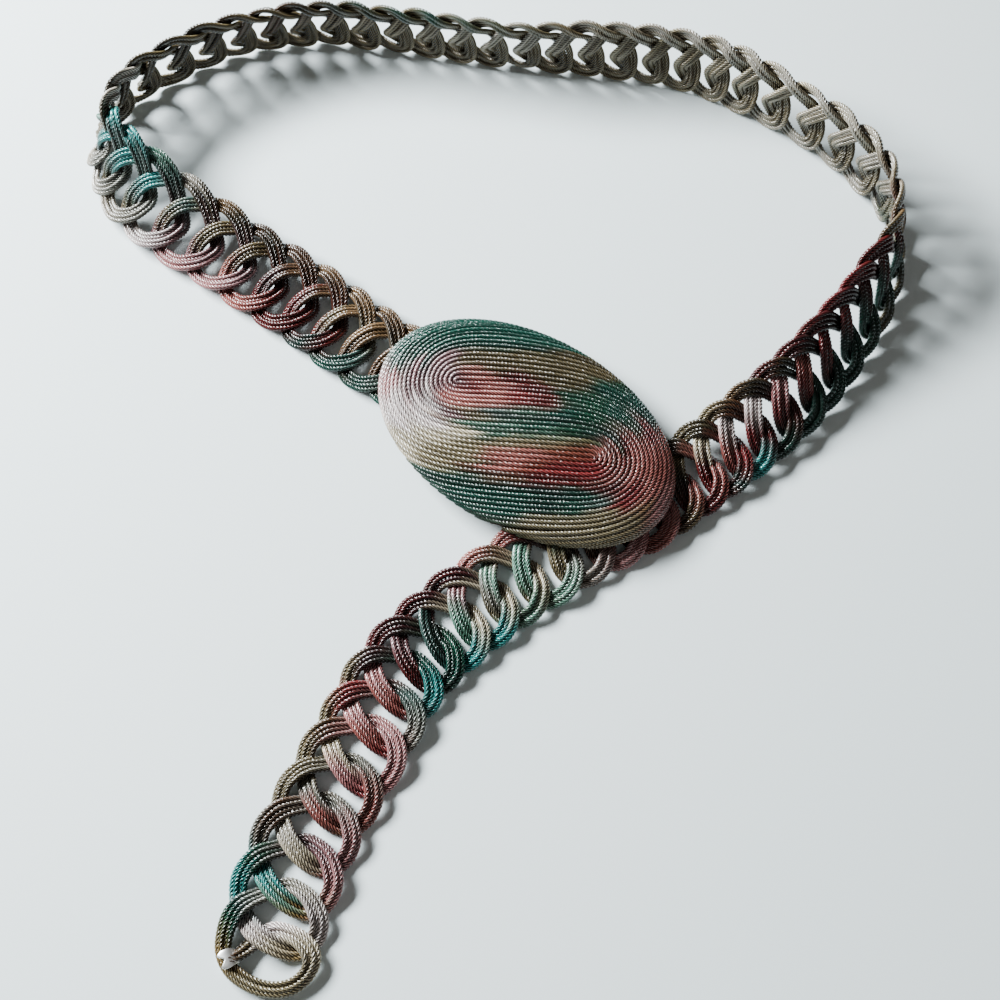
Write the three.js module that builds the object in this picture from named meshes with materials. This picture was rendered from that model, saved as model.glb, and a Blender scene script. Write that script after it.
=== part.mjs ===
// A belt of soft cord, worked as one long chain of interlocked loops, with an
// oval coiled buckle. It lies fastened on its back: the flat runs at the front
// lie face up, the back of the waist loop stands on its edge.
// Units are mm, +Z is up, the origin is under the middle of the bounding box.
import * as THREE from "three";

// Cord band: four cords side by side.
const BAND_HALF_WIDTH = 2.9;
const BAND_HALF_THICKNESS = 0.8;
const WEAVE_HEIGHT = 1.5; // how far a band rises over or dips under its neighbour
const MID_HEIGHT = WEAVE_HEIGHT + BAND_HALF_THICKNESS;
const SECTIONS_PER_STITCH = 13;
const JOIN_STITCH = 34; // the two halves of the chain meet here
const GAP = 0.3;

// Buckle: flat back, rounded rim, low dome.
const BUCKLE_CENTRE = [8.4, 23.0];
const BUCKLE_TURN = -35.5; // degrees, long axis down to the right
const BUCKLE_HALF_LENGTH = 56;
const BUCKLE_HALF_WIDTH = 36.3;
const BUCKLE_SEAM_HALF = 27; // the cord is coiled round a straight seam
const BUCKLE_RIM = 1.5;
const BUCKLE_DOME = 9;
const BUCKLE_BACK = 6;

// Hidden hook: a plain pin with a round foot under the buckle.
const HOOK_STITCH = 52;
const HOOK_ALONG = 0.0;
const HOOK_ACROSS = 0.1;
const HOOK_RADIUS = 0.7;
const HOOK_PLATE_RADIUS = 5;
const HOOK_PLATE = 0.8;

// Small bent clip that holds the end of the band.
const CLIP_STITCH = 67;
const CLIP_ACROSS = -0.76;
const CLIP_LENGTH = 5.5;
const CLIP_HALF_WIDTH = 3;
const CLIP_HALF_HEIGHT = 1.4;
const CLIP_WALL = 0.8;

const BOX_CENTRE = [-3.93, 20.83];

// The route of the belt's middle line. Stitches are counted from the buckle.
// lean: 0 is flat with its face up, 90 stands on its outer edge.
// slant: how far, in stitches, the inner edge runs ahead of the outer one.
const ROUTE = [
  // stitch, x, y, lean, width, slant
  [-1, -9, 32, 0, 32, 0.15],
  [2, -43, 56, 2, 33, 0.18],
  [5, -75, 81, 4, 33, 0.18],
  [7, -99, 98, 7, 33, 0.18],
  [9, -125, 116, 22, 33, 0.14],
  [10, -136, 125, 38, 32, 0.1],
  [12, -147, 145, 66, 31, 0.05],
  [14, -138, 166, 73, 31, 0],
  [16, -116, 183, 72, 31, 0],
  [18, -93, 193, 72, 31, 0],
  [20, -70, 196.5, 73, 31, 0],
  [23, -33, 192, 75, 31, 0],
  [26, 4, 185.5, 76, 31, 0],
  [29, 41, 182.5, 84, 31, 0],
  [32, 77, 175, 92, 31, 0],
  [34, 98, 163, 91, 31, 0],
  [36, 121, 144, 90, 31, 0],
  [38, 138, 122, 88, 31, 0],
  [40, 141.5, 96, 76, 31, -0.05],
  [42, 130.5, 73.5, 57, 30, -0.1],
  [44, 116, 53.7, 45, 29.5, -0.1],
  [46, 100.3, 35.7, 34, 29.5, -0.1],
  [48, 82.4, 21.3, 16, 29.5, -0.1],
  [50, 65.5, 8.8, 3, 30, -0.1],
  [52, 47.5, -4.3, 0, 31, -0.05],
  [54, 25.5, -16.8, 0, 32, 0],
  [56, 3.3, -30.8, 0, 32.5, 0],
  [58, -16.3, -46.3, 0, 32.5, 0],
  [60, -31.9, -63.4, 0, 32.5, 0],
  [62, -44, -86.6, 0, 32.5, 0],
  [64, -57, -111.6, 0, 32.5, 0],
  [66, -66, -137.8, 0, 32.5, 0],
  [68, -68, -164, 0, 32, 0],
];

// One stitch of the chain, from its right leg down, round its foot, back to the
// left and up into the edge loop that runs on to the next stitch.
// along: in stitches. across: -1 inner edge, 1 outer edge. height: 1 over, -1 under.
const STITCH = [
  // along, across, height, width
  [0.21, -0.49, 0.1, 0.95],
  [0.4, -0.32, 1.05, 0.9],
  [0.58, -0.07, 1, 0.9],
  [0.71, 0.2, 0.35, 0.9],
  [0.74, 0.42, -0.7, 0.82],
  [0.7, 0.59, -1, 0.8],
  [0.57, 0.71, -1, 0.8],
  [0.33, 0.81, -0.5, 0.85],
  [0.0, 0.83, 0.4, 0.85],
  [-0.21, 0.77, 1, 0.9],
  [-0.42, 0.64, 1, 0.9],
  [-0.6, 0.47, 0.75, 0.85],
  [-0.7, 0.24, 0, 0.8],
  [-0.73, 0.02, -0.9, 0.8],
  [-0.55, -0.17, -1, 0.85],
  [-0.3, -0.45, 0.05, 0.9],
  [-0.07, -0.67, 1, 1],
  [0.21, -0.8, 1, 0.95],
  [0.49, -0.86, 0.4, 0.85],
  [0.77, -0.8, -0.8, 0.82],
  [0.98, -0.69, -1, 0.85],
];
const FIRST_STITCH = 0;
const LAST_STITCH = 66;

// After the last stitch the band turns round the tip and ends under it.
const TIP = [
  // along, across, height, width
  [66.62, -0.86, 0.5, 0.8],
  [66.88, -0.83, 0, 0.72],
  [67.12, -0.71, 0, 0.7],
  [67.33, -0.52, 0, 0.75],
  [67.5, -0.24, 0, 0.8],
  [67.58, 0.06, 0, 0.8],
  [67.55, 0.36, 0, 0.8],
  [67.4, 0.59, 0, 0.8],
  [67.18, 0.74, 0.2, 0.8],
  [66.95, 0.8, 0.6, 0.85],
  [66.75, 0.76, 1, 0.9],
  [66.56, 0.64, 1, 0.9],
  [66.4, 0.47, 0.75, 0.85],
  [66.3, 0.24, 0, 0.8],
  [66.27, 0.02, -0.75, 0.8],
  [66.42, -0.17, -1, 0.8],
  [66.62, -0.36, -0.9, 0.75],
  [66.82, -0.5, -0.4, 0.6],
];

const degrees = Math.PI / 180;

// Smooth values of a table at a position, through its rows.
function tableAt(table, position) {
  const last = table.length - 1;
  let i = 0;
  while (i < last - 1 && position > table[i + 1][0]) i++;
  const slope = (j, c) => {
    const a = table[Math.max(j - 1, 0)];
    const b = table[j];
    const d = table[Math.min(j + 1, last)];
    if (j === 0) return (d[c] - b[c]) / (d[0] - b[0]);
    if (j === last) return (b[c] - a[c]) / (b[0] - a[0]);
    const before = b[0] - a[0];
    const after = d[0] - b[0];
    const rise = ((b[c] - a[c]) / before) * after + ((d[c] - b[c]) / after) * before;
    return rise / (before + after);
  };
  const span = table[i + 1][0] - table[i][0];
  const f = (position - table[i][0]) / span;
  return table[i].map((v, c) => {
    const w = table[i + 1][c];
    const p = slope(i, c) * span;
    const q = slope(i + 1, c) * span;
    return v + f * (p + f * (3 * (w - v) - 2 * p - q + f * (2 * (v - w) + p + q)));
  });
}

// The belt's own frame at a stitch: middle point, way to the inner edge, way out of the face.
function beltFrame(stitch) {
  const [, x, y, lean, width] = tableAt(ROUTE, stitch);
  const ahead = tableAt(ROUTE, stitch + 0.01);
  const behind = tableAt(ROUTE, stitch - 0.01);
  const along = new THREE.Vector3(ahead[1] - behind[1], ahead[2] - behind[2], 0).normalize();
  const c = Math.cos(lean * degrees);
  const s = Math.sin(lean * degrees);
  const inner = new THREE.Vector3(along.y * c, -along.x * c, s);
  const face = inner.clone().cross(along);
  const middle = new THREE.Vector3(x, y, (width / 2) * s + MID_HEIGHT * c);
  return { middle, inner, face, width };
}

// A point of the chain, with the face direction there.
function chainPoint([along, across, height, band]) {
  const slant = tableAt(ROUTE, along)[5];
  const { middle, inner, face, width } = beltFrame(along - slant * across);
  const point = middle
    .clone()
    .addScaledVector(inner, (-across * width) / 2)
    .addScaledVector(face, height * WEAVE_HEIGHT);
  return { point, face, band };
}

// All control points, stitch by stitch.
function chainControls() {
  const rows = [];
  for (let stitch = FIRST_STITCH; stitch <= LAST_STITCH; stitch++) {
    for (const [along, across, height, band] of STITCH) {
      if (stitch === LAST_STITCH && along > 0.4 && across < -0.8) break;
      rows.push([stitch + along, across, height, band]);
    }
  }
  return rows.concat(TIP).map(chainPoint);
}

// A smooth place between the control points, at a position counted in points.
function smoothPlace(controls, position) {
  const i = Math.min(Math.floor(position), controls.length - 2);
  const f = position - i;
  const at = (j) => controls[THREE.MathUtils.clamp(j, 0, controls.length - 1)];
  const [a, b, c, d] = [at(i - 1), at(i), at(i + 1), at(i + 2)];
  const weights = [
    -0.5 * f + f * f - 0.5 * f ** 3,
    1 - 2.5 * f * f + 1.5 * f ** 3,
    0.5 * f + 2 * f * f - 1.5 * f ** 3,
    -0.5 * f * f + 0.5 * f ** 3,
  ];
  const point = new THREE.Vector3();
  [a, b, c, d].forEach((p, j) => point.addScaledVector(p.point, weights[j]));
  const face = b.face.clone().lerp(c.face, f).normalize();
  return { point, face, band: THREE.MathUtils.lerp(b.band, c.band, f) };
}

// Places at even steps along the cord.
function evenPlaces(controls, from, to, count) {
  const fine = [];
  const steps = Math.ceil((to - from) * 12);
  for (let i = 0; i <= steps; i++) fine.push(from + ((to - from) * i) / steps);
  const places = fine.map((p) => smoothPlace(controls, p));
  const lengths = [0];
  for (let i = 1; i < places.length; i++) {
    lengths.push(lengths[i - 1] + places[i].point.distanceTo(places[i - 1].point));
  }
  const total = lengths[lengths.length - 1];
  const out = [];
  let j = 0;
  for (let i = 0; i < count; i++) {
    const want = (total * i) / (count - 1);
    while (j < lengths.length - 2 && lengths[j + 1] < want) j++;
    const f = (want - lengths[j]) / (lengths[j + 1] - lengths[j]);
    out.push(smoothPlace(controls, fine[j] + (fine[j + 1] - fine[j]) * f));
  }
  return out;
}

// Joins rings of points into one closed skin.
function skin(rings) {
  const sides = rings[0].length;
  const corners = rings.flat();
  const index = [];
  for (let i = 0; i < rings.length - 1; i++) {
    for (let j = 0; j < sides; j++) {
      const a = i * sides + j;
      const b = i * sides + ((j + 1) % sides);
      index.push(a, b, b + sides, a, b + sides, a + sides);
    }
  }
  const top = (rings.length - 1) * sides;
  for (let j = 1; j < sides - 1; j++) {
    index.push(0, j + 1, j);
    index.push(top, top + j, top + j + 1);
  }
  const geometry = new THREE.BufferGeometry().setFromPoints(corners);
  geometry.setIndex(index);
  return geometry;
}

// A six-sided band swept through its places.
function bandGeometry(places) {
  const outline = [
    [1, 0],
    [0.66, 1],
    [-0.66, 1],
    [-1, 0],
    [-0.66, -1],
    [0.66, -1],
  ];
  const rings = places.map(({ point, face, band }, i) => {
    const before = places[Math.max(i - 1, 0)].point;
    const after = places[Math.min(i + 1, places.length - 1)].point;
    const along = after.clone().sub(before).normalize();
    const side = face.clone().cross(along).normalize();
    const up = along.clone().cross(side);
    return outline.map(([a, b]) =>
      point
        .clone()
        .addScaledVector(side, a * BAND_HALF_WIDTH * band)
        .addScaledVector(up, b * BAND_HALF_THICKNESS),
    );
  });
  return skin(rings);
}

function chainGeometries() {
  const controls = chainControls();
  const join = (JOIN_STITCH - FIRST_STITCH) * STITCH.length;
  const end = controls.length - 1;
  const step = smoothPlace(controls, join).point.distanceTo(smoothPlace(controls, join + 0.1).point);
  const half = (0.05 * GAP) / step;
  const firstCount = (JOIN_STITCH - FIRST_STITCH) * SECTIONS_PER_STITCH;
  const secondCount = Math.round(((end - join) / STITCH.length) * SECTIONS_PER_STITCH);
  return [
    bandGeometry(evenPlaces(controls, 0, join - half, firstCount)),
    bandGeometry(evenPlaces(controls, join + half, end, secondCount)),
  ];
}

// Oval rings from the flat back, over the rim, up to the seam.
function buckleGeometry() {
  const profile = [
    // share of the way out from the seam, height over the back
    [0.94, 0],
    [0.98, 0.35],
    [1, BUCKLE_RIM],
  ];
  const steps = 7;
  for (let i = 1; i <= steps; i++) {
    const a = (i / steps) * (Math.PI / 2);
    profile.push([Math.max(Math.cos(a), 0.03), BUCKLE_RIM + BUCKLE_DOME * Math.sin(a) ** 1.1]);
  }
  const sides = 36;
  const rings = profile.map(([share, height]) => {
    const ring = [];
    for (let j = 0; j < sides; j++) {
      const a = (j / sides - 0.25) * 2 * Math.PI;
      const out = BUCKLE_SEAM_HALF + (BUCKLE_HALF_LENGTH - BUCKLE_SEAM_HALF) * share;
      ring.push(
        new THREE.Vector3(out * Math.cos(a), BUCKLE_HALF_WIDTH * share * Math.sin(a), height),
      );
    }
    return ring;
  });
  const geometry = skin(rings);
  geometry.rotateZ(BUCKLE_TURN * degrees);
  geometry.translate(BUCKLE_CENTRE[0], BUCKLE_CENTRE[1], BUCKLE_BACK);
  return geometry;
}

// A round pin under a round plate, both close under the buckle's back.
function hookGeometry() {
  const top = BUCKLE_BACK - GAP;
  const foot = top - HOOK_PLATE;
  const outline = [
    [HOOK_RADIUS, 0.4],
    [HOOK_RADIUS, foot],
    [HOOK_PLATE_RADIUS, foot],
    [HOOK_PLATE_RADIUS, top],
  ];
  const sides = 16;
  const rings = outline.map(([radius, height]) =>
    Array.from({ length: sides }, (_, j) => {
      const a = (j / sides) * 2 * Math.PI;
      return new THREE.Vector3(radius * Math.cos(a), radius * Math.sin(a), height);
    }),
  );
  const { point } = chainPoint([HOOK_STITCH + HOOK_ALONG, HOOK_ACROSS, 0, 1]);
  return skin(rings).translate(point.x, point.y, 0);
}

// A strip bent round the band close to its end: a letter C, open towards the belt's middle.
function clipGeometry() {
  const at = chainPoint([CLIP_STITCH, CLIP_ACROSS, 0, 1]);
  const next = TIP.findIndex(([along]) => along > CLIP_STITCH);
  const along = chainPoint(TIP[next]).point.sub(chainPoint(TIP[next - 1]).point).normalize();
  const side = at.face.clone().cross(along).normalize();
  const outer = [];
  const inner = [];
  const count = 12;
  for (let i = 0; i <= count; i++) {
    const a = (-0.8 + (1.6 * i) / count) * Math.PI;
    const place = (half, rise) => new THREE.Vector2(Math.cos(a) * half, Math.sin(a) * rise);
    outer.push(place(CLIP_HALF_WIDTH + CLIP_WALL, CLIP_HALF_HEIGHT + CLIP_WALL));
    inner.push(place(CLIP_HALF_WIDTH, CLIP_HALF_HEIGHT));
  }
  const shape = new THREE.Shape([...outer, ...inner.reverse()]);
  const geometry = new THREE.ExtrudeGeometry(shape, { depth: CLIP_LENGTH, bevelEnabled: false });
  geometry.translate(0, 0, -CLIP_LENGTH / 2);
  const turn = new THREE.Matrix4().makeBasis(side, at.face, side.clone().cross(at.face));
  turn.setPosition(at.point);
  return geometry.applyMatrix4(turn);
}

const cord = new THREE.MeshStandardMaterial({ color: 0x8a7f72, roughness: 0.6 });
const metal = new THREE.MeshStandardMaterial({ color: 0xd8d8d6, metalness: 1, roughness: 0.25 });
const coil = new THREE.MeshStandardMaterial({ color: 0x9c8f8a, roughness: 0.55 });

const belt = new THREE.Group();
function addPart(name, geometry, material) {
  geometry.translate(-BOX_CENTRE[0], -BOX_CENTRE[1], 0);
  geometry.computeVertexNormals();
  const mesh = new THREE.Mesh(geometry, material);
  mesh.name = name;
  belt.add(mesh);
}

const [firstHalf, secondHalf] = chainGeometries();
addPart("chain_buckle_half", firstHalf, cord);
addPart("chain_tail_half", secondHalf, cord);
addPart("buckle_plaque", buckleGeometry(), coil);
addPart("hidden_hook", hookGeometry(), metal);
addPart("end_clip", clipGeometry(), metal);

export default belt;
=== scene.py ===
import bpy
import math
import numpy as np
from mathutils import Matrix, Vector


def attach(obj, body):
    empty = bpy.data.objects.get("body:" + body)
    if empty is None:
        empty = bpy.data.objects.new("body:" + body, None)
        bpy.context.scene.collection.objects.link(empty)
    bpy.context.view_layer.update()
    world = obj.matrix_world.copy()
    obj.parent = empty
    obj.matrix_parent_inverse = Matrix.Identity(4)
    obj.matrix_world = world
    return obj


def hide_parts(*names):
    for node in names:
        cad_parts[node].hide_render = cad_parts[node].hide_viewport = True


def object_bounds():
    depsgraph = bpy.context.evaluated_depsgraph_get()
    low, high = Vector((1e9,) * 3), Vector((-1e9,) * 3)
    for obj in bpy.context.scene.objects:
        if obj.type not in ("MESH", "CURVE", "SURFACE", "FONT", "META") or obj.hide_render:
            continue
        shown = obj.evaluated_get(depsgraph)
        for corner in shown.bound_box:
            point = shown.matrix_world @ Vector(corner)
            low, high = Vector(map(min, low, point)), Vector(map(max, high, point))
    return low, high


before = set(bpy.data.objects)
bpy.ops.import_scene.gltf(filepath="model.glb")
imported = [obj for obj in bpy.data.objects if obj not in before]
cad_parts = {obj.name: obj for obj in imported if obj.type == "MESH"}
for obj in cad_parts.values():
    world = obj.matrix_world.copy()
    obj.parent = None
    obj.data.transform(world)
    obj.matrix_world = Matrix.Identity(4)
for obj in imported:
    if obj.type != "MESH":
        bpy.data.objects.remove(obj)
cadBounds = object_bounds()
mm = 0.001
rng = np.random.default_rng(8)
print("loaded", flush=True)

# The belt's own frame is centred on its box; the route is counted from the photo's middle.
boxCentre = np.array([-3.93, 20.83, 0.0])

view = {
    "elevation": 64.0,
    "distance": 505.0,
    "lens": 54.0,
    "sensor": 36.0,
}


def makeCamera():
    lift = math.radians(view["elevation"])
    place = np.array([0.0, -view["distance"] * math.cos(lift), view["distance"] * math.sin(lift)])
    data = bpy.data.cameras.new("camera")
    data.lens = view["lens"]
    data.sensor_width = view["sensor"]
    camera = bpy.data.objects.new("camera", data)
    camera.location = (place - boxCentre) * mm
    camera.rotation_euler = (math.radians(90.0) - lift, 0.0, 0.0)
    bpy.context.collection.objects.link(camera)
    bpy.context.scene.camera = camera


lights = {
    # name: place in metres, width, height, power, colour
    "key": ((-0.75, 0.42, 0.58), 0.65, 0.26, 68.0, (0.94, 0.985, 1.0)),
    "fill": ((0.4, -0.9, 1.0), 1.2, 1.2, 2.0, (0.96, 0.98, 1.0)),
}
worldLight = {"colour": (1.0, 0.91, 0.8), "strength": 0.1}
# The floor lies just under the lowest point, so that the two share no plane.
ground = {"half": 1.6, "gap": 0.0001, "colour": (0.67, 0.745, 0.76), "roughness": 0.75, "specular": 0.2}


def makeLights():
    for name, (place, width, height, power, colour) in lights.items():
        data = bpy.data.lights.new(name, "AREA")
        data.shape = "RECTANGLE"
        data.size = width
        data.size_y = height
        data.energy = power
        data.color = colour
        lamp = bpy.data.objects.new(name, data)
        lamp.location = place
        away = np.array(place) / np.linalg.norm(place)
        lamp.rotation_euler = (math.acos(away[2]), 0.0, math.atan2(away[1], away[0]) + math.pi / 2)
        bpy.context.collection.objects.link(lamp)
    world = bpy.data.worlds.new("studio")
    world.use_nodes = True
    back = world.node_tree.nodes["Background"]
    back.inputs["Color"].default_value = (*worldLight["colour"], 1.0)
    back.inputs["Strength"].default_value = worldLight["strength"]
    bpy.context.scene.world = world


def makeFloor():
    half = ground["half"]
    mesh = bpy.data.meshes.new("floor")
    mesh.from_pydata(
        [(-half, -half, 0), (half, -half, 0), (half, half, 0), (-half, half, 0)], [], [(0, 1, 2, 3)]
    )
    floor = bpy.data.objects.new("floor", mesh)
    floor.location = (0.0, 0.0, cadBounds[0][2] - ground["gap"])
    bpy.context.collection.objects.link(floor)
    material = bpy.data.materials.new("floor")
    material.use_nodes = True
    shader = material.node_tree.nodes["Principled BSDF"]
    shader.inputs["Base Color"].default_value = (*ground["colour"], 1.0)
    shader.inputs["Roughness"].default_value = ground["roughness"]
    shader.inputs["Specular IOR Level"].default_value = ground["specular"]
    mesh.materials.append(material)


makeCamera()
makeLights()
makeFloor()
print("camera, lights and floor", flush=True)

# How far a band rises and sinks in the weave, and its own half thickness and half width.
weave = {"height": 1.5, "halfThickness": 0.8, "halfWidth": 2.9}

# stitch, x, y, lean, width, slant
route = np.array([
    (-1, -9, 32, 0, 32, 0.15),
    (2, -43, 56, 2, 33, 0.18),
    (5, -75, 81, 4, 33, 0.18),
    (7, -99, 98, 7, 33, 0.18),
    (9, -125, 116, 22, 33, 0.14),
    (10, -136, 125, 38, 32, 0.1),
    (12, -147, 145, 66, 31, 0.05),
    (14, -138, 166, 73, 31, 0),
    (16, -116, 183, 72, 31, 0),
    (18, -93, 193, 72, 31, 0),
    (20, -70, 196.5, 73, 31, 0),
    (23, -33, 192, 75, 31, 0),
    (26, 4, 185.5, 76, 31, 0),
    (29, 41, 182.5, 84, 31, 0),
    (32, 77, 175, 92, 31, 0),
    (34, 98, 163, 91, 31, 0),
    (36, 121, 144, 90, 31, 0),
    (38, 138, 122, 88, 31, 0),
    (40, 141.5, 96, 76, 31, -0.05),
    (42, 130.5, 73.5, 57, 30, -0.1),
    (44, 116, 53.7, 45, 29.5, -0.1),
    (46, 100.3, 35.7, 34, 29.5, -0.1),
    (48, 82.4, 21.3, 16, 29.5, -0.1),
    (50, 65.5, 8.8, 3, 30, -0.1),
    (52, 47.5, -4.3, 0, 31, -0.05),
    (54, 25.5, -16.8, 0, 32, 0),
    (56, 3.3, -30.8, 0, 32.5, 0),
    (58, -16.3, -46.3, 0, 32.5, 0),
    (60, -31.9, -63.4, 0, 32.5, 0),
    (62, -44, -86.6, 0, 32.5, 0),
    (64, -57, -111.6, 0, 32.5, 0),
    (66, -66, -137.8, 0, 32.5, 0),
    (68, -68, -164, 0, 32, 0),
], float)

# along, across, height, width
stitch = np.array([
    (0.21, -0.49, 0.1, 0.95),
    (0.4, -0.32, 1.05, 0.9),
    (0.58, -0.07, 1, 0.9),
    (0.71, 0.2, 0.35, 0.9),
    (0.74, 0.42, -0.7, 0.82),
    (0.7, 0.59, -1, 0.8),
    (0.57, 0.71, -1, 0.8),
    (0.33, 0.81, -0.5, 0.85),
    (0.0, 0.83, 0.4, 0.85),
    (-0.21, 0.77, 1, 0.9),
    (-0.42, 0.64, 1, 0.9),
    (-0.6, 0.47, 0.75, 0.85),
    (-0.7, 0.24, 0, 0.8),
    (-0.73, 0.02, -0.9, 0.8),
    (-0.55, -0.17, -1, 0.85),
    (-0.3, -0.45, 0.05, 0.9),
    (-0.07, -0.67, 1, 1),
    (0.21, -0.8, 1, 0.95),
    (0.49, -0.86, 0.4, 0.85),
    (0.77, -0.8, -0.8, 0.82),
    (0.98, -0.69, -1, 0.85),
])
lastStitch = 66
# The last stitch stops past this place, and the tip goes on from there.
tipStart = {"along": 0.4, "across": -0.8}

# along, counted in stitches of the belt, then across, height and width
tip = np.array([
    (66.62, -0.86, 0.5, 0.78),
    (66.88, -0.83, 0, 0.72),
    (67.12, -0.71, 0, 0.7),
    (67.33, -0.52, 0, 0.7),
    (67.5, -0.24, 0, 0.7),
    (67.58, 0.06, 0, 0.7),
    (67.55, 0.36, 0, 0.7),
    (67.4, 0.59, 0, 0.7),
    (67.18, 0.74, 0.2, 0.7),
    (66.95, 0.8, 0.6, 0.76),
    (66.75, 0.76, 1, 0.9),
    (66.56, 0.64, 1, 0.9),
    (66.4, 0.47, 0.75, 0.85),
    (66.3, 0.24, 0, 0.8),
    (66.27, 0.02, -0.75, 0.8),
    (66.42, -0.17, -1, 0.8),
    (66.62, -0.36, -0.9, 0.75),
    (66.82, -0.5, -0.4, 0.6),
    (66.93, -0.62, 0.5, 0.5),
    (67.0, -0.72, 0.95, 0.5),
])


def tableAt(table, where):
    key = table[:, 0]
    values = table[:, 1:]
    step = np.diff(key)
    rise = np.diff(values, axis=0) / step[:, None]
    slope = np.empty_like(values)
    slope[0] = rise[0]
    slope[-1] = rise[-1]
    before, after = step[:-1, None], step[1:, None]
    slope[1:-1] = (rise[:-1] * after + rise[1:] * before) / (before + after)
    i = np.clip(np.searchsorted(key, where, side="right") - 1, 0, len(key) - 2)
    f = ((where - key[i]) / step[i])[:, None]
    p, q = slope[i] * step[i][:, None], slope[i + 1] * step[i][:, None]
    v, w = values[i], values[i + 1]
    return v + f * (p + f * (3 * (w - v) - 2 * p - q + f * (2 * (v - w) + p + q)))


def unit(v):
    return v / np.linalg.norm(v, axis=-1, keepdims=True)


# The belt's way is taken between points this part of a stitch ahead and behind.
nearby = 0.01


def beltFrame(where):
    row = tableAt(route, where)
    x, y, lean, width = row[:, 0], row[:, 1], np.radians(row[:, 2]), row[:, 3]
    ahead, behind = tableAt(route, where + nearby), tableAt(route, where - nearby)
    way = unit(ahead[:, :2] - behind[:, :2])
    c, s = np.cos(lean), np.sin(lean)
    inner = np.stack([way[:, 1] * c, -way[:, 0] * c, s], 1)
    along = np.stack([way[:, 0], way[:, 1], 0 * s], 1)
    face = np.cross(inner, along)
    rest = weave["height"] + weave["halfThickness"]
    middle = np.stack([x, y, width / 2 * s + rest * c], 1)
    return middle, inner, face, width


def chainPoints(rows):
    slant = tableAt(route, rows[:, 0])[:, 4]
    middle, inner, face, width = beltFrame(rows[:, 0] - slant * rows[:, 1])
    point = middle - inner * (rows[:, 1] * width / 2)[:, None]
    return point + face * (rows[:, 2] * weave["height"])[:, None], face


def chainRows():
    rows, phase = [], []
    for k in range(lastStitch + 1):
        for j, (along, across, height, band) in enumerate(stitch):
            if k == lastStitch and along > tipStart["along"] and across < tipStart["across"]:
                break
            rows.append((k + along, across, height, band))
            phase.append(k + j / len(stitch))
    start = phase[-1]
    for j, row in enumerate(tip):
        rows.append(row)
        phase.append(start + (j + 1) / len(stitch))
    return np.array(rows), np.array(phase)


def smooth(values, where):
    i = np.clip(np.floor(where).astype(int), 0, len(values) - 2)
    f = (where - i)[:, None]

    def at(j):
        return values[np.clip(j, 0, len(values) - 1)]

    weights = (
        -0.5 * f + f**2 - 0.5 * f**3,
        1 - 2.5 * f**2 + 1.5 * f**3,
        0.5 * f + 2 * f**2 - 1.5 * f**3,
        -0.5 * f**2 + 0.5 * f**3,
    )
    return sum(w * at(i + n - 1) for n, w in enumerate(weights))


def straight(values, where):
    base = np.arange(len(values))
    return np.stack([np.interp(where, base, values[:, c]) for c in range(values.shape[1])], 1)


rows, phases = chainRows()
controlPoints, controlFaces = chainPoints(rows)
finePerRow = 10
fine = np.linspace(0, len(rows) - 1, (len(rows) - 1) * finePerRow + 1)
course = smooth(controlPoints, fine)
courseFace = unit(straight(controlFaces, fine))
courseBand = np.interp(fine, np.arange(len(rows)), rows[:, 3])
coursePhase = np.interp(fine, np.arange(len(rows)), phases)
way = unit(np.gradient(course, axis=0))
side = unit(np.cross(courseFace, way))
up = np.cross(way, side)
print("course of the chain", flush=True)

dyes = {
    "teal": (7, 50, 42),
    "deepTeal": (6, 36, 32),
    "aqua": (64, 124, 122),
    "mint": (98, 128, 114),
    "maroon": (66, 28, 28),
    "darkMaroon": (36, 16, 17),
    "red": (94, 43, 44),
    "rose": (140, 92, 88),
    "pink": (164, 124, 124),
    "white": (196, 186, 184),
    "silver": (146, 141, 132),
    "cream": (172, 163, 144),
    "khaki": (108, 100, 82),
    "olive": (68, 61, 46),
    "darkOlive": (34, 30, 21),
    "gold": (110, 92, 64),
    "brown": (60, 44, 34),
    "tan": (98, 80, 62),
    "taupe": (92, 84, 68),
    "grey": (102, 101, 95),
    "mauve": (98, 76, 78),
    "black": (17, 15, 14),
    "green": (12, 46, 34),
    "slate": (56, 72, 68),
    "sage": (54, 76, 66),
    "rust": (94, 54, 47),
}
# A dye stands this much further from grey than its plain colour, within these bounds.
dyeStrength = 1.32
darkest = 0.002
palest = 0.9


def linear(name):
    c = np.array(dyes[name]) / 255.0
    c = np.where(c <= 0.04045, c / 12.92, ((c + 0.055) / 1.055) ** 2.4)
    return np.maximum(c.mean() + dyeStrength * (c - c.mean()), darkest)


# Where along a stitch each column of the dye chart stands, counted in rows of the stitch.
chartPlaces = [0.5, 2.3, 4.6, 8.0, 11.5, 16.3, 18.6]
# The first of them take their own stitch's dyes, the others those of the stitch before.
ownPlaces = 3

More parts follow.
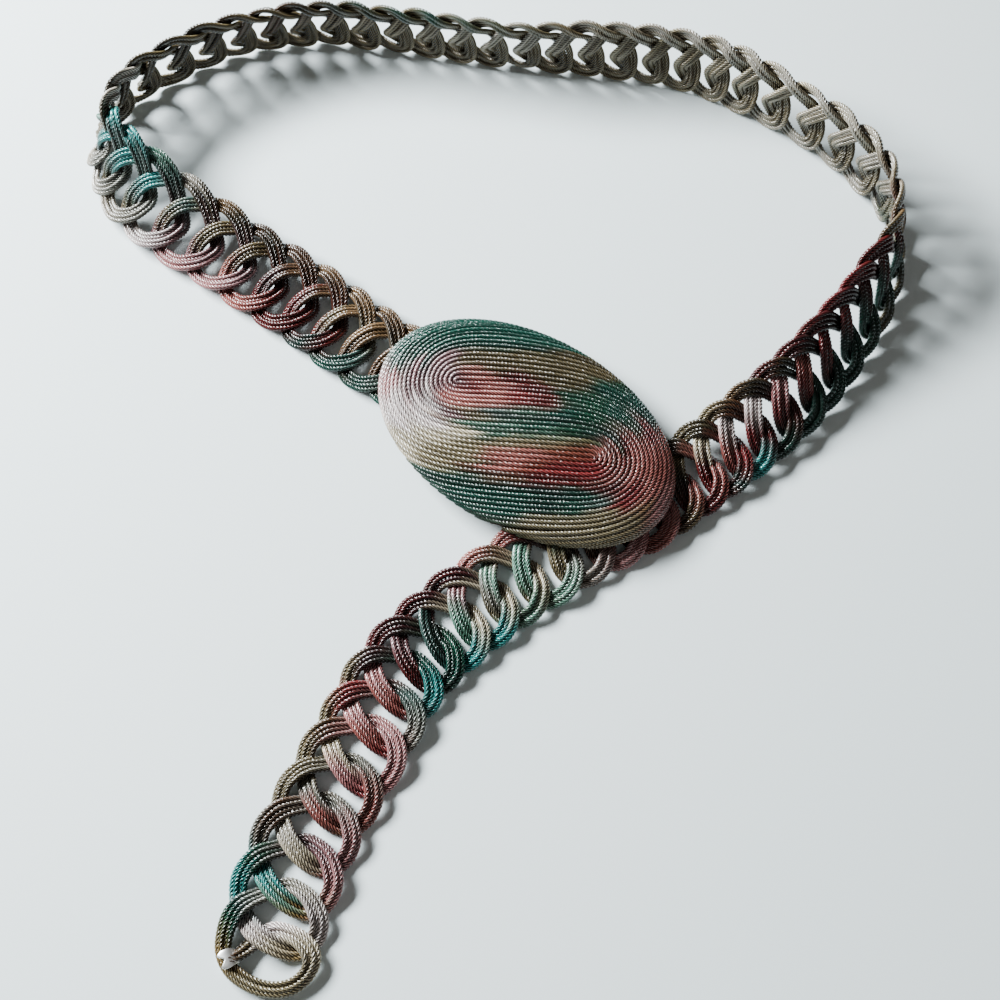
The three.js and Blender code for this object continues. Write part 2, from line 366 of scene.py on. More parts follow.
# stitch: leg top, leg middle, leg foot, foot run, back loop, edge loop start, edge loop end
dyeChart = {
    0: "brown brown brown teal grey brown tan",
    2: "tan tan brown teal slate tan tan",
    3: "tan olive maroon deepTeal maroon brown tan",
    4: "brown maroon maroon maroon maroon brown brown",
    5: "brown darkMaroon maroon rose maroon darkOlive brown",
    6: "olive brown rose pink mauve darkOlive tan",
    7: "olive olive mauve pink mauve darkOlive silver",
    8: "slate olive mauve white mauve slate mint",
    9: "aqua slate taupe silver grey slate aqua",
    10: "aqua slate taupe silver grey slate aqua",
    11: "aqua slate grey silver grey olive silver",
    12: "mint grey taupe silver taupe darkOlive silver",
    13: "slate taupe taupe khaki taupe darkOlive olive",
    15: "olive taupe olive taupe taupe black olive",
    18: "taupe olive taupe taupe olive brown darkOlive",
    22: "olive taupe taupe taupe taupe taupe teal",
    26: "taupe taupe olive taupe taupe silver taupe",
    30: "taupe taupe taupe khaki taupe khaki silver",
    34: "khaki taupe taupe silver taupe cream silver",
    37: "khaki taupe olive silver taupe silver taupe",
    39: "maroon taupe green khaki slate tan olive",
    40: "maroon teal teal olive teal maroon maroon",
    41: "maroon teal teal olive teal maroon red",
    42: "maroon teal teal green teal darkMaroon red",
    43: "red deepTeal teal teal teal darkMaroon maroon",
    44: "red maroon deepTeal teal teal darkMaroon maroon",
    45: "rose red deepTeal teal teal darkOlive maroon",
    46: "pink red deepTeal teal maroon darkOlive tan",
    47: "white red darkMaroon aqua maroon brown khaki",
    48: "white rose maroon deepTeal red darkOlive olive",
    49: "cream maroon red maroon rose darkOlive olive",
    50: "khaki darkOlive maroon olive rose black darkOlive",
    51: "olive olive maroon rose pink black darkOlive",
    52: "olive brown maroon pink pink brown maroon",
    54: "mint khaki olive mint grey maroon rose",
    55: "mint mint olive mint cream brown rose",
    56: "mint grey olive aqua cream darkMaroon maroon",
    57: "mauve mint green aqua cream darkMaroon maroon",
    58: "slate slate deepTeal teal green darkMaroon maroon",
    59: "mauve maroon darkMaroon aqua teal darkMaroon taupe",
    60: "pink rose maroon grey slate red khaki",
    61: "pink rose red pink pink brown khaki",
    62: "cream pink red rose grey olive taupe",
    63: "grey rose brown pink grey brown grey",
    64: "silver cream maroon pink mauve green aqua",
    65: "aqua mint gold white silver deepTeal green",
    66: "white cream gold white white deepTeal green",
}
# Round the tip, counted in rows after the last stitch.
tipDyes = [
    (0, "green"), (2, "gold"), (4, "khaki"), (6, "khaki"), (8, "khaki"), (10, "cream"), (12, "cream"),
    (15, "white"), (17, "taupe"), (19, "brown"), (40, "brown"),
]
# The chart stops this part of a stitch before the tip's own dyes.
beforeTip = 0.02


def chainDye(phase):
    names = sorted(dyeChart)
    table = np.array([[linear(n) for n in dyeChart[k].split()] for k in names])
    wholes = np.arange(0, lastStitch + 2)
    perStitch = np.empty((len(wholes), len(chartPlaces), 3))
    for c in range(len(chartPlaces)):
        for d in range(3):
            perStitch[:, c, d] = np.interp(wholes, names, table[:, c, d])
    keys, colours = [], []
    for k in wholes:
        for c, place in enumerate(chartPlaces):
            owner = k if c < ownPlaces else max(k - 1, 0)
            keys.append(k + place / len(stitch))
            colours.append(perStitch[min(owner, lastStitch), c])
    keys, colours = np.array(keys), np.array(colours)
    end = phases[len(phases) - len(tip) - 1]
    keep = keys < end - beforeTip
    tipKeys = np.array([end + n / len(stitch) for n, _ in tipDyes])
    keys = np.concatenate([keys[keep], tipKeys])
    colours = np.concatenate([colours[keep], [linear(n) for _, n in tipDyes]])
    return np.stack([np.interp(phase, keys, colours[:, d]) for d in range(3)], 1)


def wander(count, step, amount):
    knots = rng.normal(0, amount, max(int(count / step) + 3, 4))
    return np.interp(np.arange(count) / step, np.arange(len(knots)), knots)


fibre = {
    "roughness": 0.25, "specular": 1.0, "tint": 2.5, "whiteness": 0.6,
    "grooveFrom": 0.22, "grooveLight": 0.06, "coat": 0.45, "coatRoughness": 0.2,
    "filaments": 2.6, "lengthwise": 0.45, "detail": 2.0, "bump": 0.8, "bumpDepth": 0.0003,
}


def fibreMaterial(name, settings):
    material = bpy.data.materials.new(name)
    material.use_nodes = True
    tree = material.node_tree
    shader = tree.nodes["Principled BSDF"]
    dye = tree.nodes.new("ShaderNodeAttribute")
    dye.attribute_name = "dye"
    # Painted shade: the dye is darkened toward the grooves between the plies, where little light comes out;
    # the glint's tint and the coat are dimmed there too.
    groove = tree.nodes.new("ShaderNodeAttribute")
    groove.attribute_name = "groove"
    lit = tree.nodes.new("ShaderNodeMapRange")
    lit.interpolation_type = "SMOOTHSTEP"
    lit.inputs["From Min"].default_value = settings["grooveFrom"]
    lit.inputs["From Max"].default_value = 1.0
    lit.inputs["To Min"].default_value = 1.0
    lit.inputs["To Max"].default_value = settings["grooveLight"]
    tree.links.new(groove.outputs["Fac"], lit.inputs["Value"])
    # Painted shade: the dye scaled down in the grooves.
    grooveShadedDye = tree.nodes.new("ShaderNodeVectorMath")
    grooveShadedDye.operation = "SCALE"
    tree.links.new(dye.outputs["Color"], grooveShadedDye.inputs[0])
    tree.links.new(lit.outputs["Result"], grooveShadedDye.inputs["Scale"])
    tree.links.new(grooveShadedDye.outputs["Vector"], shader.inputs["Base Color"])
    # The glint of dyed filaments keeps some of their colour.
    bright = tree.nodes.new("ShaderNodeVectorMath")
    bright.operation = "MULTIPLY_ADD"
    bright.inputs[1].default_value = (settings["tint"],) * 3
    bright.inputs[2].default_value = (settings["whiteness"],) * 3
    tree.links.new(dye.outputs["Color"], bright.inputs[0])
    most = tree.nodes.new("ShaderNodeVectorMath")
    most.operation = "MINIMUM"
    most.inputs[1].default_value = (1.0, 1.0, 1.0)
    tree.links.new(bright.outputs["Vector"], most.inputs[0])
    # Painted shade: the glint's tint is dimmed in the grooves as well.
    glint = tree.nodes.new("ShaderNodeVectorMath")
    glint.operation = "SCALE"
    tree.links.new(most.outputs["Vector"], glint.inputs[0])
    tree.links.new(lit.outputs["Result"], glint.inputs["Scale"])
    tree.links.new(glint.outputs["Vector"], shader.inputs["Specular Tint"])
    shader.inputs["Roughness"].default_value = settings["roughness"]
    shader.inputs["Specular IOR Level"].default_value = settings["specular"]
    shader.inputs["Coat Roughness"].default_value = settings["coatRoughness"]
    # Painted shade: the coat thins toward the grooves.
    gloss = tree.nodes.new("ShaderNodeMath")
    gloss.operation = "MULTIPLY"
    gloss.inputs[1].default_value = settings["coat"]
    tree.links.new(lit.outputs["Result"], gloss.inputs[0])
    tree.links.new(gloss.outputs["Value"], shader.inputs["Coat Weight"])
    # Fine filaments run along each ply.
    around = tree.nodes.new("ShaderNodeAttribute")
    around.attribute_name = "fibre"
    along = tree.nodes.new("ShaderNodeAttribute")
    along.attribute_name = "along"
    spot = tree.nodes.new("ShaderNodeCombineXYZ")
    slow = tree.nodes.new("ShaderNodeMath")
    slow.operation = "MULTIPLY"
    slow.inputs[1].default_value = settings["lengthwise"]
    tree.links.new(along.outputs["Fac"], slow.inputs[0])
    tree.links.new(slow.outputs["Value"], spot.inputs["Z"])
    scaled = tree.nodes.new("ShaderNodeVectorMath")
    scaled.operation = "MULTIPLY_ADD"
    scaled.inputs[1].default_value = (settings["filaments"], settings["filaments"], 0.0)
    tree.links.new(around.outputs["Vector"], scaled.inputs[0])
    tree.links.new(spot.outputs["Vector"], scaled.inputs[2])
    noise = tree.nodes.new("ShaderNodeTexNoise")
    noise.inputs["Scale"].default_value = 1.0
    noise.inputs["Detail"].default_value = settings["detail"]
    tree.links.new(scaled.outputs["Vector"], noise.inputs["Vector"])
    bump = tree.nodes.new("ShaderNodeBump")
    bump.inputs["Strength"].default_value = settings["bump"]
    bump.inputs["Distance"].default_value = settings["bumpDepth"]
    tree.links.new(noise.outputs["Fac"], bump.inputs["Height"])
    tree.links.new(bump.outputs["Normal"], shader.inputs["Normal"])
    tree.links.new(bump.outputs["Normal"], shader.inputs["Coat Normal"])
    return material


def plyGroup():
    group = bpy.data.node_groups.new("laidCord", "GeometryNodeTree")
    face = group.interface
    face.new_socket("Geometry", in_out="INPUT", socket_type="NodeSocketGeometry")
    face.new_socket("Radius", in_out="INPUT", socket_type="NodeSocketFloat")
    face.new_socket("Sides", in_out="INPUT", socket_type="NodeSocketInt")
    face.new_socket("Groove", in_out="INPUT", socket_type="NodeSocketFloat")
    face.new_socket("Material", in_out="INPUT", socket_type="NodeSocketMaterial")
    face.new_socket("Geometry", in_out="OUTPUT", socket_type="NodeSocketGeometry")
    nodes, links = group.nodes, group.links
    source = nodes.new("NodeGroupInput")
    curve = nodes.new("GeometryNodeMeshToCurve")
    links.new(source.outputs["Geometry"], curve.inputs["Mesh"])
    turn = nodes.new("GeometryNodeInputNamedAttribute")
    turn.data_type = "FLOAT"
    turn.inputs["Name"].default_value = "turn"
    tilt = nodes.new("GeometryNodeSetCurveTilt")
    links.new(curve.outputs["Curve"], tilt.inputs["Curve"])
    links.new(turn.outputs["Attribute"], tilt.inputs["Tilt"])
    ring = nodes.new("GeometryNodeCurvePrimitiveCircle")
    links.new(source.outputs["Sides"], ring.inputs["Resolution"])
    links.new(source.outputs["Radius"], ring.inputs["Radius"])
    index = nodes.new("GeometryNodeInputIndex")
    # Every second corner of the ring lies in a groove.
    rest = nodes.new("ShaderNodeMath")
    rest.operation = "MODULO"
    rest.inputs[1].default_value = 2.0
    links.new(index.outputs[0], rest.inputs[0])
    inGroove = nodes.new("ShaderNodeMath")
    inGroove.operation = "GREATER_THAN"
    inGroove.inputs[1].default_value = 0.5
    links.new(rest.outputs[0], inGroove.inputs[0])
    depth = nodes.new("ShaderNodeMath")
    depth.operation = "MULTIPLY"
    links.new(inGroove.outputs[0], depth.inputs[0])
    links.new(source.outputs["Groove"], depth.inputs[1])
    share = nodes.new("ShaderNodeMath")
    share.operation = "SUBTRACT"
    share.inputs[0].default_value = 1.0
    links.new(depth.outputs[0], share.inputs[1])
    place = nodes.new("GeometryNodeInputPosition")
    scaled = nodes.new("ShaderNodeVectorMath")
    scaled.operation = "SCALE"
    links.new(place.outputs[0], scaled.inputs[0])
    links.new(share.outputs[0], scaled.inputs["Scale"])
    around = nodes.new("ShaderNodeVectorMath")
    around.operation = "NORMALIZE"
    links.new(place.outputs[0], around.inputs[0])
    kept = nodes.new("GeometryNodeStoreNamedAttribute")
    kept.data_type = "FLOAT_VECTOR"
    kept.domain = "POINT"
    kept.inputs["Name"].default_value = "fibre"
    links.new(ring.outputs["Curve"], kept.inputs["Geometry"])
    links.new(around.outputs[0], kept.inputs["Value"])
    valley = nodes.new("GeometryNodeStoreNamedAttribute")
    valley.data_type = "FLOAT"
    valley.domain = "POINT"
    valley.inputs["Name"].default_value = "groove"
    links.new(kept.outputs["Geometry"], valley.inputs["Geometry"])
    links.new(inGroove.outputs[0], valley.inputs["Value"])
    lobed = nodes.new("GeometryNodeSetPosition")
    links.new(valley.outputs["Geometry"], lobed.inputs["Geometry"])
    links.new(scaled.outputs[0], lobed.inputs["Position"])
    swept = nodes.new("GeometryNodeCurveToMesh")
    swept.inputs["Fill Caps"].default_value = True
    links.new(tilt.outputs["Curve"], swept.inputs["Curve"])
    links.new(lobed.outputs["Geometry"], swept.inputs["Profile Curve"])
    soft = nodes.new("GeometryNodeSetShadeSmooth")
    links.new(swept.outputs["Mesh"], soft.inputs["Geometry"])
    # The grooves between the plies stay sharp.
    low = nodes.new("GeometryNodeInputNamedAttribute")
    low.data_type = "FLOAT"
    low.inputs["Name"].default_value = "groove"
    alongGroove = nodes.new("FunctionNodeCompare")
    alongGroove.data_type = "FLOAT"
    alongGroove.operation = "GREATER_THAN"
    alongGroove.inputs["B"].default_value = 0.9
    links.new(low.outputs["Attribute"], alongGroove.inputs["A"])
    crease = nodes.new("GeometryNodeSetShadeSmooth")
    crease.domain = "EDGE"
    crease.inputs["Shade Smooth"].default_value = False
    links.new(soft.outputs["Geometry"], crease.inputs["Geometry"])
    links.new(alongGroove.outputs["Result"], crease.inputs["Selection"])
    real = nodes.new("GeometryNodeRealizeInstances")
    links.new(crease.outputs["Geometry"], real.inputs["Geometry"])
    dressed = nodes.new("GeometryNodeSetMaterial")
    links.new(real.outputs["Geometry"], dressed.inputs["Geometry"])
    links.new(source.outputs["Material"], dressed.inputs["Material"])
    sink = nodes.new("NodeGroupOutput")
    links.new(dressed.outputs["Geometry"], sink.inputs["Geometry"])
    return group


cordGroup = plyGroup()


def layCord(name, paths, settings, material):
    points, edges, turn, along, dye = [], [], [], [], []
    count = 0
    for path, colour, start, pitch in paths:
        n = len(path)
        points.append(path - boxCentre)
        turn.append(start + np.arange(n) * settings["step"] / pitch * 2 * math.pi)
        along.append(np.arange(n) * settings["step"] + rng.uniform(0, 50))
        dye.append(colour)
        first = np.arange(count, count + n - 1)
        edges.append(np.stack([first, first + 1], 1))
        count += n
    points = np.concatenate(points) * mm
    edges = np.concatenate(edges)
    mesh = bpy.data.meshes.new(name + "_paths")
    mesh.from_pydata(points.tolist(), edges.tolist(), [])
    mesh.attributes.new("turn", "FLOAT", "POINT").data.foreach_set(
        "value", np.concatenate(turn).astype(np.float32)
    )
    mesh.attributes.new("along", "FLOAT", "POINT").data.foreach_set(
        "value", np.concatenate(along).astype(np.float32)
    )
    colour = np.concatenate(dye)
    colour = np.concatenate([colour, np.ones((len(colour), 1))], 1).astype(np.float32)
    mesh.attributes.new("dye", "FLOAT_COLOR", "POINT").data.foreach_set("color", colour.ravel())
    source = bpy.data.objects.new(name + "_source", mesh)
    bpy.context.collection.objects.link(source)
    modifier = source.modifiers.new("cord", "NODES")
    modifier.node_group = cordGroup
    sockets = {item.name: item.identifier for item in cordGroup.interface.items_tree
               if item.item_type == "SOCKET" and item.in_out == "INPUT"}
    modifier[sockets["Radius"]] = settings["radius"] * mm
    modifier[sockets["Sides"]] = settings["sides"]
    modifier[sockets["Groove"]] = settings["groove"]
    modifier[sockets["Material"]] = material
    graph = bpy.context.evaluated_depsgraph_get()
    result = bpy.data.meshes.new_from_object(source.evaluated_get(graph), depsgraph=graph)
    bpy.data.objects.remove(source)
    piece = bpy.data.objects.new(name, result)
    result.name = name
    bpy.context.collection.objects.link(piece)
    print(name, len(result.polygons) * 2, "triangles", flush=True)
    return piece


def evenly(path, step, extra=None):
    gaps = np.linalg.norm(np.diff(path, axis=0), axis=1)
    length = np.concatenate([[0], np.cumsum(gaps)])
    want = np.linspace(0, length[-1], max(int(length[-1] / step), 2))
    columns = path if extra is None else np.concatenate([path, extra], 1)
    out = np.stack([np.interp(want, length, columns[:, c]) for c in range(columns.shape[1])], 1)
    return out if extra is None else (out[:, : path.shape[1]], out[:, path.shape[1]:])


chainCord = {
    "strands": 4, "radius": 0.98, "sides": 10, "groove": 0.34, "pitch": 6.5, "step": 0.58, "ease": 1.6,
    "spread": 1.12, "inset": 0.8, "stagger": 0.4, "drift": 0.1, "roll": 0.25, "streak": 0.16,
    "liftDrift": 0.6, "shift": 0.02, "ownShift": 0.014, "tone": 0.09,
}
# Steps from one knot of a strand's wander to the next.
chainKnots = {"roll": 70, "drift": 45, "lift": 60, "shift": 90, "tone": 14}
# Strands ride up over each other where the band is narrower than "from".
bunching = {"from": 0.98, "over": 0.2, "least": 0.15}
chainMaterial = fibreMaterial("chain_cord", fibre)


def eased(path, reach):
    # Corners tighter than the reach, in steps, are rounded.
    n = int(3 * reach)
    weights = np.exp(-0.5 * (np.arange(-n, n + 1) / reach) ** 2)
    weights /= weights.sum()
    before = 2 * path[0] - path[n:0:-1]
    after = 2 * path[-1] - path[-2:-n - 2:-1]
    long = np.concatenate([before, path, after])
    return np.stack([np.convolve(long[:, c], weights, "valid") for c in range(path.shape[1])], 1)


def chainStrands():
    count = len(course)
    half = chainCord["spread"] * weave["halfWidth"] * courseBand - chainCord["inset"] * chainCord["radius"]
    bunch = np.clip((bunching["from"] - courseBand) / bunching["over"], bunching["least"], 1.0)
    roll = wander(count, chainKnots["roll"], chainCord["roll"])
    strands = []
    for j in range(chainCord["strands"]):
        share = (2 * j / (chainCord["strands"] - 1)) - 1
        flat = half * share + wander(count, chainKnots["drift"], chainCord["drift"])
        lift = (1 if j % 2 else -1) * chainCord["stagger"] * bunch
        lift = lift + wander(count, chainKnots["lift"], chainCord["drift"] * chainCord["liftDrift"])
        across = flat * np.cos(roll) - lift * np.sin(roll)
        rise = flat * np.sin(roll) + lift * np.cos(roll)
        path = course + side * across[:, None] + up * rise[:, None]
        shift = wander(count, chainKnots["shift"], chainCord["shift"])
        shift = shift + rng.normal(0, chainCord["ownShift"])
        extra = np.column_stack([chainDye(coursePhase + shift), fine / len(stitch)])
        path, extra = evenly(path, chainCord["step"], extra)
        path = eased(path, chainCord["ease"] / chainCord["step"])
        path, extra = evenly(path, chainCord["step"], extra)
        path[:, 2] = np.maximum(path[:, 2], chainCord["radius"])
        tone = wander(len(path), chainKnots["tone"], chainCord["tone"])
        tone = np.exp(tone + rng.normal(0, chainCord["streak"]))
        strands.append((path, np.clip(extra[:, :3] * tone[:, None], 0, palest), extra[:, 3]))
    return strands


chainPieces = [
    # name, the solid it dresses, first and last stitch
    ("cord_chain_left", "chain_buckle_half", 0, 16.5),
    ("cord_chain_back", "chain_buckle_half", 16.5, 34),
    ("cord_chain_corner", "chain_tail_half", 34, 45),
    ("cord_chain_right", "chain_tail_half", 45, 56),
    ("cord_chain_tail", "chain_tail_half", 56, None),
]
strands = chainStrands()
starts = rng.uniform(0, 2 * math.pi, len(strands))
for name, owner, start, end in chainPieces:
    cut = []
    for (path, colour, stitches), turned in zip(strands, starts):
        first = int(np.searchsorted(stitches, start))
        last = len(path) if end is None else int(np.searchsorted(stitches, end)) + 1
        turned = turned + first * chainCord["step"] / chainCord["pitch"] * 2 * math.pi
        cut.append((path[first:last], colour[first:last], turned, chainCord["pitch"]))
    piece = layCord(name, cut, chainCord, chainMaterial)
    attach(piece, "root")
    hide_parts(owner)
print("chain", flush=True)

# The plaque: a low dome on a flat back.
buckle = {
    "centre": (8.4, 23.0), "turn": math.radians(-35.5), "halfLength": 56.0, "halfWidth": 36.3,
    "back": 6.0, "rim": 1.5, "dome": 9.0, "fullness": 2.2, "crown": 1.05,
}
buckleCord = {
    "radius": 0.98, "sides": 10, "groove": 0.34, "pitch": 6.2, "step": 0.5,
    "inward": 0.9, "drift": 0.05, "streak": 0.16, "tone": 0.1, "jitter": 1.6, "jitterWander": 0.7,
    "slack": 4.5, "slackFrom": 9, "slackOver": 3, "shortest": 4,
}
# Steps from one knot of a cord's wander to the next.
buckleKnots = {"drift": 40, "jitter": 30, "tone": 12}
# One broad ribbon of cords folds round two centres, like an S. Its turns ease
# into the straight runs over this share of their radius.
fold = {
    "first": np.array([-14.5, 38.0]), "second": np.array([31.0, 7.8]),
    "slope": math.radians(-4.0), "cords": 15, "ease": 0.55, "fan": 1.2,
    "turnFrom": 40, "turnTo": 140, "turnSteps": 60,
}
foldAhead = np.array([math.cos(fold["slope"]), math.sin(fold["slope"])])
foldAbove = np.array([-foldAhead[1], foldAhead[0]])
foldSpan = (fold["second"] - fold["first"]) @ foldAhead
foldWidth = (fold["first"] - fold["second"]) @ foldAbove


def plaqueShare(x, y):
    c, s = math.cos(-buckle["turn"]), math.sin(-buckle["turn"])
    dx, dy = x - buckle["centre"][0], y - buckle["centre"][1]
    u, v = dx * c - dy * s, dx * s + dy * c
    return np.hypot(u / buckle["halfLength"], v / buckle["halfWidth"])


def domeHeight(share):
    return buckle["dome"] * np.sqrt(np.clip(1 - share ** buckle["fullness"], 0, 1)) ** buckle["crown"]


def softRise(x, width):
    return width * np.logaddexp(0.0, x / width)


def bendDrop(x, radius):
    reach = softRise(x, fold["ease"] * radius)
    return radius - np.sqrt(np.clip(radius**2 - reach**2, 0, None))


def bend(radius, after):
    # A turn open to the left: from above its centre round the right to below it.
    width = fold["ease"] * radius
    steps = fold["turnSteps"]
    angle = np.linspace(math.radians(fold["turnFrom"]), math.radians(fold["turnTo"]), steps)
    x = width * np.log(np.expm1(np.sin(angle) * radius / width))
    before = np.linspace(-foldSpan / 2, x[0], steps)[:-1]
    back = np.linspace(x[0], -after, steps)[1:]
    y = [radius - bendDrop(before, radius), radius * np.cos(angle), bendDrop(back, radius) - radius]
    return np.concatenate([before, x, back]), np.concatenate(y)


def ribbonCord(share):
    near = share * foldWidth
    far = foldWidth - near
    # Over the first centre the cords lie further apart.
    high = fold["fan"] * near
    # Along from the first centre, and above it, turn by turn.
    x, y = bend(foldWidth + high, foldSpan)
    a = foldSpan + x
    lift = np.where(y > 0, fold["fan"] * bendDrop(-a, near), 0)
    parts = [(a[::-1], (y - foldWidth - lift)[::-1])]
    x, y = bend(near, foldSpan / 2)
    y = np.where(y > 0, fold["fan"] * y, y)
    others = np.where(y > 0, foldWidth + high, far)
    parts.append((-x, y - bendDrop(-x - foldSpan, others)))
    x, y = bend(far, foldSpan / 2)
    a = foldSpan + x
    others = np.where(y > 0, near, foldWidth + far)
    parts.append((a, y - foldWidth + bendDrop(-a, others)))
    x, y = bend(foldWidth + far, foldSpan)
    parts.append((-x, -y + np.where(y > 0, bendDrop(-x - foldSpan, far), 0)))
    a = np.concatenate([part[0] for part in parts])
    b = np.concatenate([part[1] for part in parts])
    return fold["first"] + a[:, None] * foldAhead + b[:, None] * foldAbove


# Points of the plaque's outline from its middle out, closer together near the rim, and the
# heights at which it turns under.
outline = {"points": 200, "crowding": 2.5, "underRim": 0.6, "foot": 0.15}


# From the plaque's middle out: the surface's own length, the plan's share and the height.
def plaqueMeridian():
    share = 1 - np.linspace(1, 0, outline["points"]) ** outline["crowding"]
    height = buckle["rim"] + domeHeight(share)
    half = buckle["halfWidth"]
    out = np.concatenate([share * half, [half, half]])
    height = np.concatenate([height, [outline["underRim"] * buckle["rim"], outline["foot"]]])
    length = np.concatenate([[0], np.cumsum(np.hypot(np.diff(out), np.diff(height)))])
    # The crown keeps its plan; the length that the steep rim adds is taken up near the rim.
    return length / half, out / half, height


meridianLength, meridianShare, meridianHeight = plaqueMeridian()

plaqueDyes = [
    # x, y, dye
    (-36, 47, "teal"), (-33, 56, "teal"), (-25, 61, "teal"), (-24, 52, "teal"), (-12, 65, "teal"),
    (-12, 56, "teal"), (0, 63, "teal"), (0, 54, "teal"), (12, 59, "teal"), (12, 53, "teal"),
    (22, 54, "teal"), (-20, 46, "mauve"), (-29, 43, "mauve"), (-10, 47, "olive"), (0, 47, "olive"),
    (10, 48, "olive"), (22, 49, "olive"), (32, 49, "olive"), (0, 42, "olive"), (12, 43, "olive"),
    (22, 42, "olive"), (32, 44, "olive"), (38, 44, "olive"), (20, 37, "olive"), (28, 38, "olive"),
    (-8, 40, "rose"), (4, 39, "maroon"), (-9, 35, "red"), (-2, 34, "rose"), (4, 32, "red"),
    (10, 34, "maroon"), (14, 31, "maroon"), (-12, 30, "rose"), (-2, 29, "rose"), (8, 29, "red"),
    (12, 28, "maroon"),
    (-17, 38, "mauve"), (-22, 39, "mauve"), (-30, 37, "mauve"), (-38, 40, "pink"), (-36, 32, "white"),
    (-26, 31, "white"), (-16, 31, "rose"), (-36, 25, "white"), (-26, 24, "white"), (-17, 25, "mauve"),
    (-34, 18, "cream"), (-24, 18, "cream"), (-16, 18, "cream"), (-30, 12, "cream"), (-20, 13, "khaki"),
    (-10, 13, "khaki"), (-24, 8, "khaki"), (-14, 8, "khaki"), (0, 14, "khaki"),
    (-10, 24, "taupe"), (0, 25, "slate"), (10, 25, "sage"), (-8, 20, "sage"), (2, 20, "sage"),
    (12, 20, "teal"), (-5, 17, "sage"), (6, 17, "sage"), (16, 17, "sage"),
    (22, 31, "green"), (30, 30, "green"), (36, 35, "teal"), (43, 38, "green"), (47, 33, "teal"),
    (51, 28, "teal"), (22, 24, "teal"), (30, 23, "green"), (40, 26, "teal"), (46, 22, "green"),
    (26, 17, "green"), (34, 17, "deepTeal"), (40, 16, "green"),
    (8, 14, "khaki"), (18, 13, "khaki"), (26, 13, "olive"), (20, 9, "rust"), (28, 10, "rust"),
    (0, 9, "rose"), (10, 9, "rose"), (-8, 5, "brown"), (2, 5, "rose"), (12, 5, "rust"), (20, 4, "red"),
    (28, 4, "red"), (2, 1, "brown"), (12, 0, "maroon"), (22, -1, "maroon"), (32, 2, "red"),
    (35, 10, "rose"), (42, 14, "red"), (50, 20, "red"), (45, 9, "rose"), (52, 11, "rose"),
    (56, 16, "rose"), (54, 4, "rose"), (44, 2, "rose"), (36, -4, "maroon"), (44, -4, "red"), (52, -3, "rose"),
    (42, -8, "red"),
    (-24, 4, "teal"), (-14, 1, "teal"), (-12, -4, "teal"), (-4, -3, "teal"), (6, -4, "teal"),
    (16, -5, "deepTeal"), (26, -5, "teal"), (4, -10, "teal"), (14, -10, "deepTeal"), (24, -10, "teal"),
    (33, -8, "slate"), (14, -15, "khaki"), (24, -16, "khaki"), (34, -13, "khaki"), (34, -18, "khaki"),
    (44, -14, "khaki"), (50, -9, "tan"), (54, -8, "pink"),
]


# How far, in mm, a dye of the list spreads along and across a cord.
dyeSpread = {"along": 7.0, "across": 3.2, "core": 0.4, "fall": -2.6}


def plaqueDye(points, ways):
    total = np.zeros((len(points), 3))
    weight = np.zeros(len(points))
    for x, y, name in plaqueDyes:
        d = np.array([x, y]) - points
        along = np.sum(d * ways, axis=1)
        across = d[:, 0] * ways[:, 1] - d[:, 1] * ways[:, 0]
        w = dyeSpread["core"] + (along / dyeSpread["along"]) ** 2 + (across / dyeSpread["across"]) ** 2
        w = w ** dyeSpread["fall"]
        total += w[:, None] * linear(name)
        weight += w
    return total / weight[:, None]


def plaqueCords():
    centre = np.array(buckle["centre"])
    limit = meridianLength[-1]
    paths = []
    for j in range(fold["cords"]):
        plan = ribbonCord((j + 0.5) / fold["cords"])
        # A cord is laid wherever its plan lies inside the rim, but for short scraps.
        outside = plaqueShare(plan[:, 0], plan[:, 1]) > limit
        runs = np.flatnonzero(np.diff(np.concatenate([[1], outside, [1]])))
        for first, last in zip(runs[::2], runs[1::2]):
            if last - first < buckleCord["shortest"]:
                continue
            part = evenly(plan[first:last], buckleCord["step"])
            share = plaqueShare(part[:, 0], part[:, 1])
            shown = np.interp(share, meridianLength, meridianShare)
            height = np.interp(share, meridianLength, meridianHeight)
            flat = centre + (part - centre) * (shown / share)[:, None]
            inward = buckleCord["radius"] * buckleCord["inward"]
            slope = np.gradient(meridianHeight, meridianLength * buckle["halfWidth"])
            steep = np.interp(share, meridianLength, -slope)
            level = np.sqrt(np.clip(1 - steep**2, 0, 1))
            radial = (part - centre) / np.linalg.norm(part - centre, axis=1, keepdims=True)
            flat = flat - radial * (inward * steep)[:, None]
            path = np.column_stack([flat, buckle["back"] + height - inward * level])
            path[:, 2] = np.maximum(path[:, 2], buckle["back"] + inward)
            path[:, 2] += wander(len(path), buckleKnots["drift"], buckleCord["drift"])
            ways = unit(np.gradient(part, axis=0))
            jitter = wander(
                len(path), buckleKnots["jitter"], buckleCord["jitterWander"] * buckleCord["jitter"]
            )
            jitter = jitter + rng.normal(0, buckleCord["jitter"])
            colour = plaqueDye(part + ways * jitter[:, None], ways)
            path, colour = evenly(path, buckleCord["step"], colour)
            tone = wander(len(path), buckleKnots["tone"], buckleCord["tone"])
            tone = np.exp(tone + rng.normal(0, buckleCord["streak"]))
            # The cords of the upper flank are laid slacker.
            upper = np.mean((part - centre) @ foldAbove)
            above = (upper - buckleCord["slackFrom"]) / buckleCord["slackOver"]
            pitch = buckleCord["pitch"] + buckleCord["slack"] / (1 + math.exp(-above))
            start = rng.uniform(0, 2 * math.pi)
            paths.append((path, np.clip(colour * tone[:, None], 0, palest), start, pitch))
    return paths


buckleMaterial = fibreMaterial("coil_cord", fibre)


# The stiff oval under the cords lies "inset" cord radii under the plaque's surface.
core = {"sides": 96, "rings": 14, "inset": 1.3, "foot": 0.3, "flat": 0.95, "edge": 0.985, "steep": 0.98,
        "roughness": 0.9}


